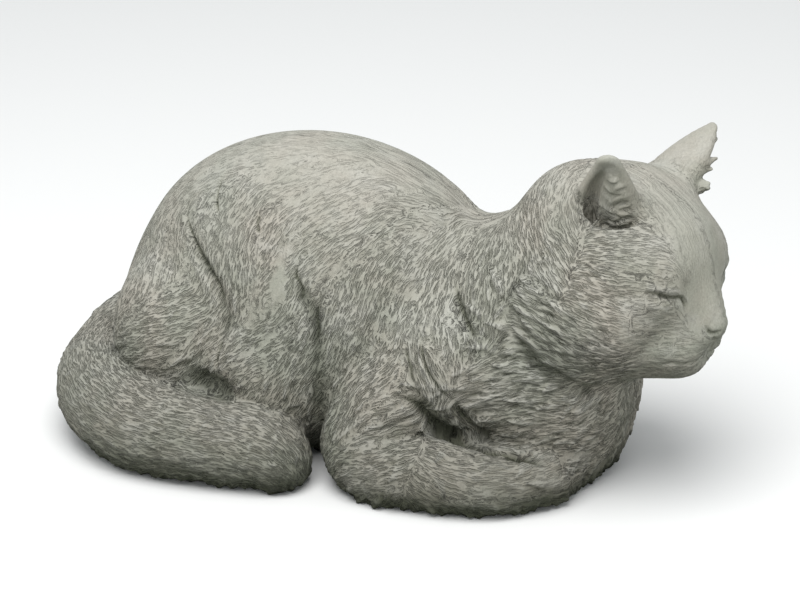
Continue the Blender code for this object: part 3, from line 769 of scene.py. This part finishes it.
class Combing:
    """Places along and across the hair: the one across stays level along the flow of the coat."""

    def __init__(self, mesh, coat):
        self.points, normals = surface(mesh)
        ways, depths = coat.lie(self.points, normals)
        sides = np.cross(normals, ways)
        zones = coat.zones(self.points)
        a, b = links(mesh)
        step = self.points[b] - self.points[a]
        lengths = np.maximum(np.linalg.norm(step, axis=1), 1e-6)
        alike = np.clip((ways[a] * ways[b]).sum(1), 0, 1) ** 6 * (zones[a] == zones[b])
        firm = alike * (np.minimum(depths[a], depths[b]) ** 2 + 0.05) + 1e-5
        self.values, self.slopes = [], []
        for field, level in ((ways, sides), (sides, ways)):
            rises = (step * (field[a] + field[b])).sum(1) / 2
            runs = (step * (level[a] + level[b])).sum(1) / 2
            # across has to stay level along the hair, and along has to grow evenly there
            heeded = runs if field is sides else rises
            weight = firm * (COMB_SPREAD + (np.abs(heeded) / lengths) ** 8)
            values = np.zeros(len(self.points))
            loose = np.ones(len(a))
            for _ in range(COMB_PASSES):
                values = levelled(a, b, weight * loose, rises, values)
                if field is sides:
                    misfit = (values[b] - values[a] - rises) / lengths
                    loose = 1 / (1 + (misfit / COMB_SLACK) ** 2)
            rise, run = self.slope(values[b] - values[a], a, b, alike * loose + 1e-6, rises, runs)
            self.values.append(values)
            self.slopes.append(rise[:, None] * field + run[:, None] * level)
        # how truly the hair's own lines run along it: 1 where they do, down to 0
        self.truth = (np.clip(3.2 - 1.6 * np.abs(run) / np.maximum(rise, 0.1), 0, 1)
                      * np.clip(5 * rise - 0.6, 0, 1) * np.clip(4 - 1.4 * rise, 0, 1))

    def slope(self, change, a, b, weight, rises, runs):
        """How steeply the values change at each point, up and along the level, from the links around it."""

        def around(amounts):
            return np.bincount(a, weight * amounts, count) + np.bincount(b, weight * amounts, count)

        count = len(self.points)
        xx, xy, yy = around(runs * runs), around(runs * rises), around(rises * rises)
        x, y = around(change * runs), around(change * rises)
        spread = np.maximum(xx * yy - xy * xy, 1e-12)
        return (xx * y - xy * x) / spread, (yy * x - xy * y) / spread

    def at(self, points):
        """Along, across and how true, for each point."""
        tree = point_tree(self.points)
        nearest = np.array([tree.find(p)[1] for p in points])
        off = points - self.points[nearest]
        places = [values[nearest] + (off * slopes[nearest]).sum(1)
                  for values, slopes in zip(self.values, self.slopes)]
        return np.stack([*places, self.truth[nearest]], axis=1)


def note(mesh, name, values):
    """Kept on the points, for the material to read: a number each, or three."""
    kind, field = ("FLOAT", "value") if values.ndim == 1 else ("FLOAT_VECTOR", "vector")
    mesh.attributes.new(name, kind, "POINT").data.foreach_set(field, values.astype(np.float32).ravel())


GROUND = 0.0
LEVEL_BELOW = 0.3  # what lies lower than this is part of the flat underside


def flat_underside(mesh):
    """Cut flat at the ground, and closed there."""
    form = bmesh.new()
    form.from_mesh(mesh)
    bmesh.ops.bisect_plane(form, geom=form.verts[:] + form.edges[:] + form.faces[:],
                           plane_co=(0, 0, GROUND), plane_no=(0, 0, 1), clear_inner=True)
    bmesh.ops.remove_doubles(form, verts=form.verts, dist=0.05)
    rim = [e for e in form.edges if e.is_boundary]
    bmesh.ops.edgenet_fill(form, edges=rim)
    bmesh.ops.triangulate(form, faces=[f for f in form.faces if len(f.verts) > 4])
    bmesh.ops.recalc_face_normals(form, faces=form.faces)
    form.to_mesh(mesh)
    form.free()


def carved_cat(look):
    """The whole statue: clay, fused and eased, with its fur cut, thinned to the triangles allowed."""
    clay = bmesh.new()
    for mass in MASSES:
        mass.add_clay(clay)
    mesh = bpy.data.meshes.new("cat")
    clay.to_mesh(mesh)
    clay.free()
    cat = added("carved_cat", mesh)
    for grain in CLAY_GRAINS:
        mesh = remeshed(cat, grain)
        ease_onto_skin(mesh)
    coat = Coat()
    points, normals = surface(mesh)
    locks = broad_locks(points, normals, coat)
    combing = Combing(mesh, coat)
    tufted = bmesh.new()
    tufted.from_mesh(mesh)
    for strand in STRANDS_OF_HAIR:
        strand.add_clay(tufted)
    tufted.to_mesh(mesh)
    tufted.free()
    mesh = remeshed(cat, FINE_GRAIN)
    ease_onto_skin(mesh, 2, tufted=True)
    points, normals = surface(mesh)
    depths = coat.lie(points, normals)[1]
    places = combing.at(points)
    ends = edge_ends(mesh)
    places[:, 2] = evened(places[:, 2], ends, TRUTH_ROUNDS)
    span = np.linalg.norm(points[ends[:, 1]] - points[ends[:, 0]], axis=1)
    jump = np.abs(places[ends[:, 1], 1] - places[ends[:, 0], 1])
    places[ends[jump > SEAM_JUMP * span], 2] = 0
    tree = point_tree(points)
    broad = np.zeros(len(points))
    for lock in locks:
        lock.raise_on(broad, points, normals, tree)
    along, across, truth = places.T
    strokes = open_strokes(along * PART / look.stroke_length, across * PART / look.stroke_spacing,
                           np.random.default_rng(5))
    bold = truth * np.clip(depths / SMOOTH_BELOW, 0.3, 1) * (BOLDNESS[0] + BOLDNESS[1] * depths)
    narrow = [(path, CRACK_WIDTH, CRACK_DEPTH) for path in CRACKS]
    cracked = sum(c.sink(points) for c in side_creases(narrow + FOREARM_CRACK) + face_creases(FACE_LINES))
    folded = sum(c.sink(points) for c in side_creases(FOLDS) + face_creases(FACE_FORMS))
    deep = LOCK_DEPTH * depths
    out = np.maximum(broad, LOCK_FLOOR * deep) - LOCK_MIDDLE * deep
    out += (STROKE_LEVEL - strokes) * bold * look.stroke_depth / PART
    out += ragged_rim(points, normals, look.rim_depth / PART) - folded - cracked
    move(mesh, points, out[:, None] * normals)
    marks = {"cut": strokes * bold, "coat": depths, "lock": out - evened(out, ends, LEVEL_ROUNDS),
             "fold": folded, "crack": cracked, "hair": places}
    for name, values in marks.items():
        note(mesh, name, values)
    flat_underside(mesh)
    thin = cat.modifiers.new("facets", "DECIMATE")
    triangles = sum(len(p.vertices) - 2 for p in mesh.polygons)
    thin.ratio = look.triangles / triangles
    mesh = applied(cat)
    points = surface(mesh)[0]
    points[points[:, 2] < LEVEL_BELOW, 2] = GROUND
    points[:, :2] -= MIDDLE
    move(mesh, points * PART, 0)
    return cat


class Shading:
    """Short ways to place and join a material's nodes."""

    def __init__(self, material):
        material.use_nodes = True
        self.nodes = material.node_tree.nodes
        self.links = material.node_tree.links
        self.shader = self.nodes["Principled BSDF"]

    def node(self, kind, settings=None, inputs=None):
        made = self.nodes.new(kind)
        for name, value in (settings or {}).items():
            setattr(made, name, value)
        for name, value in (inputs or {}).items():
            socket = made.inputs[name]
            if isinstance(value, bpy.types.NodeSocket):
                self.links.new(value, socket)
            else:
                socket.default_value = value
        return made

    def place(self):
        return self.node("ShaderNodeTexCoord").outputs["Object"]

    def mark(self, name):
        return self.node("ShaderNodeAttribute", {"attribute_name": name}).outputs["Fac"]

    def noise(self, where, scale, detail=4, rough=0.55, distortion=0.0):
        return self.node("ShaderNodeTexNoise", None, {
            "Vector": where, "Scale": scale, "Detail": detail, "Roughness": rough, "Distortion": distortion,
        }).outputs["Fac"]

    def ramp(self, value, low, high, to_low=0.0, to_high=1.0):
        return self.node("ShaderNodeMapRange", {"interpolation_type": "SMOOTHSTEP"}, {
            "Value": value, "From Min": low, "From Max": high, "To Min": to_low, "To Max": to_high,
        }).outputs["Result"]

    def figure(self, operation, a, b):
        return self.node("ShaderNodeMath", {"operation": operation}, {0: a, 1: b}).outputs[0]

    def plus(self, a, b):
        return self.figure("ADD", a, b)

    def times(self, a, b):
        return self.figure("MULTIPLY", a, b)

    def vector(self, operation, a, b):
        return self.node("ShaderNodeVectorMath", {"operation": operation}, {0: a, 1: b}).outputs

    def axis(self, vector, name):
        return self.node("ShaderNodeSeparateXYZ", None, {0: vector}).outputs[name]

    def pair(self, x, y):
        return self.node("ShaderNodeCombineXYZ", None, {"X": x, "Y": y}).outputs[0]

    def blend(self, amount, a, b, mode="MIX"):
        return self.node("ShaderNodeMix", {"data_type": "RGBA", "blend_type": mode}, {
            "Factor": amount, 6: a, 7: b,
        }).outputs[2]


def fine_strokes(s, hair, long, wide):
    """Pointed strokes along the hair, one to a cell of the length and width given: 1 in them, 0 beside."""
    x = s.vector("DOT_PRODUCT", hair, (1 / long, HAIR_SLANT / wide, 0))["Value"]
    y = s.vector("DOT_PRODUCT", hair, (0, 1 / wide, 0))["Value"]
    away = s.node("ShaderNodeTexVoronoi", {"feature": "F1", "voronoi_dimensions": "2D"},
                  {"Vector": s.pair(x, y), "Scale": 1.0, "Randomness": 1.0}).outputs["Distance"]
    return s.ramp(away, 0.42, 0.1)


def weathered_stone(look):
    """Mottled grey-green and beige, pale on its ridges and tops, stained in its cuts and along the ground;
    the pale tops and ridges are partly painted light, and the darkening of the cuts, folds, undersides and
    lower parts is partly painted shade.
    """
    material = bpy.data.materials.new("cast_stone")
    s = Shading(material)
    where = s.place()
    cut, lock, fold = s.mark("cut"), s.mark("lock"), s.mark("fold")
    crack, coat = s.mark("crack"), s.mark("coat")
    facing = s.axis(s.node("ShaderNodeNewGeometry").outputs["Normal"], "Z")
    height = s.axis(where, "Z")
    broad = s.noise(where, 14, 5, 0.6, 0.4)
    patches = s.noise(where, 42, 5, 0.6)
    speckle = s.noise(where, 900, 3, 0.7)
    # the fine hair, in drawn parts along and across its flow
    waver = s.times(s.plus(s.noise(where, 75, 2), -0.5), 3)
    ripple = s.plus(s.noise(where, 320, 2), -0.5)
    hair = s.node("ShaderNodeAttribute", {"attribute_name": "hair"}).outputs["Vector"]
    truth = s.axis(hair, "Z")
    hair = s.vector("ADD", hair, s.pair(waver, s.plus(waver, ripple)))[0]
    fine = s.times(fine_strokes(s, hair, *FINE_HAIR), s.ramp(s.noise(where, 160, 3), 0.3, 0.6, 0.6, 1.0))
    long = s.times(fine_strokes(s, hair, *LONG_HAIR), s.ramp(s.noise(where, 90, 3), 0.3, 0.65, 0.25, 1.0))
    strength = s.times(s.ramp(coat, -0.25, 1.2), truth)
    gap = s.times(s.figure("MAXIMUM", fine, long), strength)
    colour = s.blend(s.ramp(broad, 0.35, 0.68), look.stone, look.warm_stone)
    colour = s.blend(s.ramp(patches, 0.45, 0.75, 0, 0.5), colour, look.crust_and_highlight)
    # painted light: surfaces that face up are lightened, partly pale crust and partly the light from above
    colour = s.blend(s.ramp(facing, 0.1, 0.95, 0, 0.32), colour, look.crust_and_highlight)
    # raised ridges of the locks lightened: rubbed wear, and a painted highlight
    colour = s.blend(s.ramp(lock, 0.1, 0.8, 0, 0.45), colour, look.crust_and_highlight)
    # painted shade in the grooves of the fine strokes, which the bump also cuts
    colour = s.blend(s.times(gap, 0.38), colour, look.crevice_dirt_and_shade)
    # painted shade, with some dirt, in the cuts, the hollows between the locks and the cracks
    hollow = s.plus(cut, s.ramp(lock, -0.2, -1.4, 0, 0.6))
    hollow = s.plus(hollow, s.times(crack, 0.45))
    colour = s.blend(s.ramp(hollow, 0.5, 1.7, 0, 0.7), colour, look.crevice_dirt_and_shade)
    # algae in the folds, together with painted shade there
    fold_stain_and_shade = s.times(s.ramp(fold, 0.6, 2.6, 0, 0.7), s.ramp(patches, 0.3, 0.65, 0.3, 1.0))
    colour = s.blend(fold_stain_and_shade, colour, look.algae_and_shade)
    # painted shade under surfaces that face down, such as below the chin, with some algae
    colour = s.blend(s.ramp(facing, 0.1, -0.8, 0, 0.7), colour, look.algae_and_shade)
    # darker towards the bottom: algae, and painted shade of the lower parts
    colour = s.blend(s.ramp(height, look.damp_and_shade_height, 0.0, 0, 0.42), colour, look.algae_and_shade)
    low = s.plus(height, s.times(s.plus(patches, -0.5), 0.03))
    colour = s.blend(s.ramp(low, look.stain_height, 0.0, 0, 0.9), colour, look.algae_and_shade)
    colour = s.blend(1.0, colour, s.node("ShaderNodeCombineColor", None, {
        name: s.ramp(speckle, 0.2, 0.8, 0.86, 1.12) for name in ("Red", "Green", "Blue")
    }).outputs[0], "MULTIPLY")
    s.links.new(colour, s.shader.inputs["Base Color"])
    s.links.new(s.ramp(speckle, 0.2, 0.8, 0.84, 0.98), s.shader.inputs["Roughness"])
    grain = s.plus(s.noise(where, 1400, 2, 0.6), s.noise(where, 320, 4, 0.6))
    grain = s.node("ShaderNodeBump", None, {"Strength": 0.5, "Distance": look.grain_depth, "Height": grain})
    bump = s.node("ShaderNodeBump", {"invert": True}, {
        "Strength": 1.0, "Distance": look.hair_depth, "Height": gap, "Normal": grain.outputs[0],
    })
    s.links.new(bump.outputs[0], s.shader.inputs["Normal"])
    s.shader.inputs["Specular IOR Level"].default_value = 0.3
    return material


def floor_finish(look):
    material = bpy.data.materials.new("floor")
    s = Shading(material)
    s.shader.inputs["Base Color"].default_value = look.floor
    s.shader.inputs["Roughness"].default_value = 0.9
    return material


def length(name, description, default):
    return FloatProperty(name=name, description=description, default=default, min=0, unit="LENGTH",
                         subtype="DISTANCE")


def colour(name, description, default):
    return FloatVectorProperty(name=name, description=description, default=(*default, 1), size=4, min=0,
                               max=1, subtype="COLOR")


def angle(name, description, degrees):
    return FloatProperty(name=name, description=description, default=math.radians(degrees),
                         subtype="ANGLE", unit="ROTATION")


class CatCarving(bpy.types.PropertyGroup):
    """How the fur and the lower edge are cut."""

    stroke_length: length("Stroke length", "From one chisel stroke to the next along the hair", 0.010)
    stroke_spacing: length("Stroke spacing", "From one chisel stroke to the next across the hair", 0.0026)
    stroke_depth: length("Stroke depth", "How deep the boldest strokes are cut", 0.0012)
    rim_depth: length("Rim depth", "How far the broken lower edge goes in and out", 0.0013)
    triangles: IntProperty(name="Triangles", description="How many triangles the finished cat has",
                           default=197000, min=10000, max=199000)


class StoneFinish(bpy.types.PropertyGroup):
    """The colours of the weathered stone, with its painted light and shade."""

    stone: colour("Stone", "Grey-green of the stone itself", (0.28, 0.285, 0.235))
    warm_stone: colour("Warm stone", "Beige of the drier patches", (0.34, 0.315, 0.265))
    # pale crust, also used as painted light on the tops and as a painted highlight on the ridges
    crust_and_highlight: colour("Pale crust", "Rubbed ridges and tops", (0.43, 0.425, 0.385))
    # dirt in the cuts, also used as painted shade in the grooves, cuts and cracks
    crevice_dirt_and_shade: colour("Crevice", "Dirt at the bottom of the cuts", (0.10, 0.105, 0.07))
    # algae, also used as painted shade in the folds, under downward faces and on the lower parts
    algae_and_shade: colour("Algae", "Growth in the folds and along the ground", (0.035, 0.04, 0.022))
    stain_height: length("Stain height", "How far the growth climbs from the ground", 0.022)
    # the darkening towards the bottom is partly painted shade
    damp_and_shade_height: length("Damp height", "How high the stone is darkened by the damp ground", 0.095)
    grain_depth: length("Grain depth", "Depth of the stone's grain", 0.0004)
    hair_depth: length("Hair depth", "Depth of the fine strokes in the finish", 0.0016)


class StudioStage(bpy.types.PropertyGroup):
    """The floor, the light and the camera."""

    floor: colour("Floor", "Plain pale floor", (0.80, 0.80, 0.79))
    azimuth: angle("Azimuth", "Where the camera stands round the statue", 18)
    elevation: angle("Elevation", "How far the camera looks down", 25)
    distance: length("Distance", "From the camera to the statue", 1.3)
    aim_height: length("Aim height", "Height that the camera looks at", 0.082)
    view_width: length("View width", "Width of the view at the statue", 0.432)
    sky: FloatProperty(name="Sky", description="Strength of the light from all round", default=0.68, min=0)
    key: FloatProperty(name="Key light", description="Power of the large light overhead", default=21, min=0,
                       unit="POWER")


class STATUE_OT_add_cat(bpy.types.Operator):
    """Model the sleeping cat, with its fur cut and its stone weathered"""

    bl_idname = "statue.add_cat"
    bl_label = "Add Sleeping Cat"

    def execute(self, context):
        cat = carved_cat(context.scene.cat_carving)
        cat.data.materials.clear()
        cat.data.materials.append(weathered_stone(context.scene.stone_finish))
        cat.data.shade_smooth()
        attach(cat, "root")
        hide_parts(NODE)
        return {"FINISHED"}


FLOOR_REACH = 6.0
FLOOR_GAP = 0.0005  # keeps the floor clear of the flat underside
LAMP_SIZE = 1.1
LAMP_OFF = (0.05, -0.55, 1.3)  # from the statue


def aimed(obj, aim, off):
    """Stands the object off from the point it looks at."""
    obj.location = aim + off
    obj.rotation_mode = "QUATERNION"
    obj.rotation_quaternion = (-off).to_track_quat("-Z", "Y")


class STATUE_OT_add_stage(bpy.types.Operator):
    """Lay the pale floor and set the light and the camera"""

    bl_idname = "statue.add_stage"
    bl_label = "Add Stage"

    def execute(self, context):
        look = context.scene.studio_stage
        scene = context.scene
        slab = bmesh.new()
        bmesh.ops.create_grid(slab, x_segments=1, y_segments=1, size=FLOOR_REACH)
        mesh = bpy.data.meshes.new("floor")
        slab.to_mesh(mesh)
        slab.free()
        floor = added("floor", mesh)
        floor.location.z = -FLOOR_GAP
        mesh.materials.append(floor_finish(look))
        world = bpy.data.worlds.new("studio")
        world.use_nodes = True
        light = world.node_tree.nodes["Background"].inputs
        light["Color"].default_value = (0.95, 0.98, 1.0, 1)
        light["Strength"].default_value = look.sky
        scene.world = world
        aim = Vector((-MIDDLE[0] * PART, -MIDDLE[1] * PART, look.aim_height))
        panel = bpy.data.lights.new("overhead", "AREA")
        panel.shape = "DISK"
        panel.size = LAMP_SIZE
        panel.energy = look.key
        aimed(added("overhead", panel), aim, Vector(LAMP_OFF))
        camera = added("camera", bpy.data.cameras.new("camera"))
        back = Vector((math.sin(look.azimuth) * math.cos(look.elevation),
                       -math.cos(look.azimuth) * math.cos(look.elevation), math.sin(look.elevation)))
        camera.data.lens = camera.data.sensor_width * look.distance / look.view_width
        aimed(camera, aim, back * look.distance)
        scene.camera = camera
        scene.view_settings.view_transform = "Standard"
        return {"FINISHED"}


class STATUE_PT_panel(bpy.types.Panel):
    """Lists the steps and their values"""

    bl_idname = "STATUE_PT_panel"
    bl_label = "Sleeping Cat"
    bl_space_type = "VIEW_3D"
    bl_region_type = "UI"
    bl_category = "Statue"

    def draw(self, context):
        scene = context.scene
        for step, values in ((STATUE_OT_add_cat, (scene.cat_carving, scene.stone_finish)),
                             (STATUE_OT_add_stage, (scene.studio_stage,))):
            box = self.layout.box()
            box.operator(step.bl_idname)
            for group in values:
                for name in group.__annotations__:
                    box.prop(group, name)


VALUES = {"cat_carving": CatCarving, "stone_finish": StoneFinish, "studio_stage": StudioStage}
CLASSES = (*VALUES.values(), STATUE_OT_add_cat, STATUE_OT_add_stage, STATUE_PT_panel)


def register():
    for kind in CLASSES:
        bpy.utils.register_class(kind)
    for name, kind in VALUES.items():
        setattr(bpy.types.Scene, name, PointerProperty(type=kind))


def unregister():
    for name in VALUES:
        delattr(bpy.types.Scene, name)
    for kind in reversed(CLASSES):
        bpy.utils.unregister_class(kind)


def main():
    register()
    bpy.ops.statue.add_stage()
    bpy.ops.statue.add_cat()


if __name__ == "__main__":
    main()
